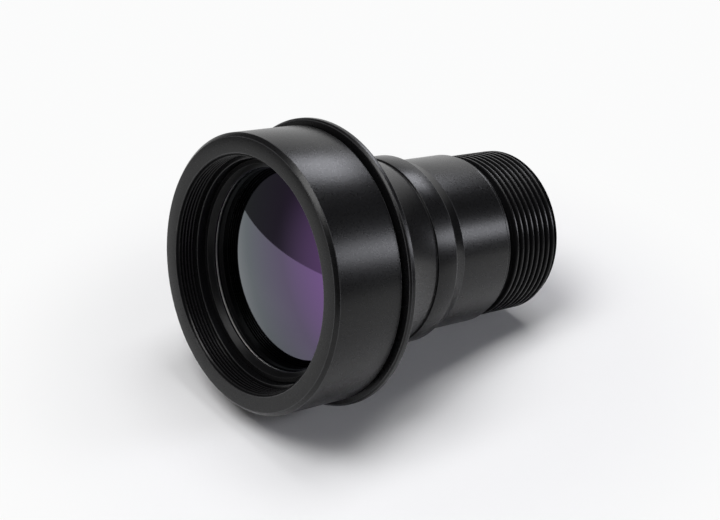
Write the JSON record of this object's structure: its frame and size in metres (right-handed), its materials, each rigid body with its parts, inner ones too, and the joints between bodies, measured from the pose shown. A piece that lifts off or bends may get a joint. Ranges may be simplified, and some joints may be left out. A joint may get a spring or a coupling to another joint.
{
  "type": "thermal imaging lens",
  "caption": "Infrared objective lens: a wide front bell with a recessed curved front element, a thin flange, a tapered neck, a plain barrel and a threaded rear end.",
  "frame": {"origin": "centre of the rear end face, where the mounting thread ends", "axes": "+Z along the optical axis towards the scene; the lens is turned about it, so X and Y are any two square directions"},
  "size_m": [0.0566, 0.0566, 0.0689],
  "materials": {
    "bell_anodised": "bead-blasted and black anodised",
    "housing_anodised": "bead-blasted and black anodised, the thread bright-cut before anodising",
    "ring_anodised": "turned and black anodised",
    "inner_anodised": "matt black anodised",
    "front_glass": "polished germanium with an anti-reflection coating, opaque to visible light",
    "inner_glass": "polished germanium with an anti-reflection coating, opaque to visible light",
    "rear_glass": "polished germanium with an anti-reflection coating, opaque to visible light",
    "seal_rubber": "smooth black nitrile rubber",
    "washer_plastic": "thin acetal film",
    "shim_steel": "blackened spring steel strip"
  },
  "bodies": {
    "root": {"front_bell": "bell_anodised", "front_retaining_ring": "ring_anodised", "front_slip_washer": "washer_plastic", "front_element": "front_glass", "front_o_ring": "seal_rubber", "focus_shim": "shim_steel", "joint_o_ring": "seal_rubber", "glare_baffle": "inner_anodised", "main_housing": "housing_anodised", "inner_cell": "inner_anodised", "third_element": "inner_glass", "spacer_tube": "inner_anodised", "aperture_stop": "inner_anodised", "middle_element": "inner_glass", "middle_slip_washer": "washer_plastic", "middle_retaining_ring": "ring_anodised", "cell_retaining_ring": "ring_anodised", "rear_element": "rear_glass", "rear_o_ring": "seal_rubber", "rear_slip_washer": "washer_plastic", "rear_retaining_ring": "ring_anodised"}
  },
  "joints": []
}
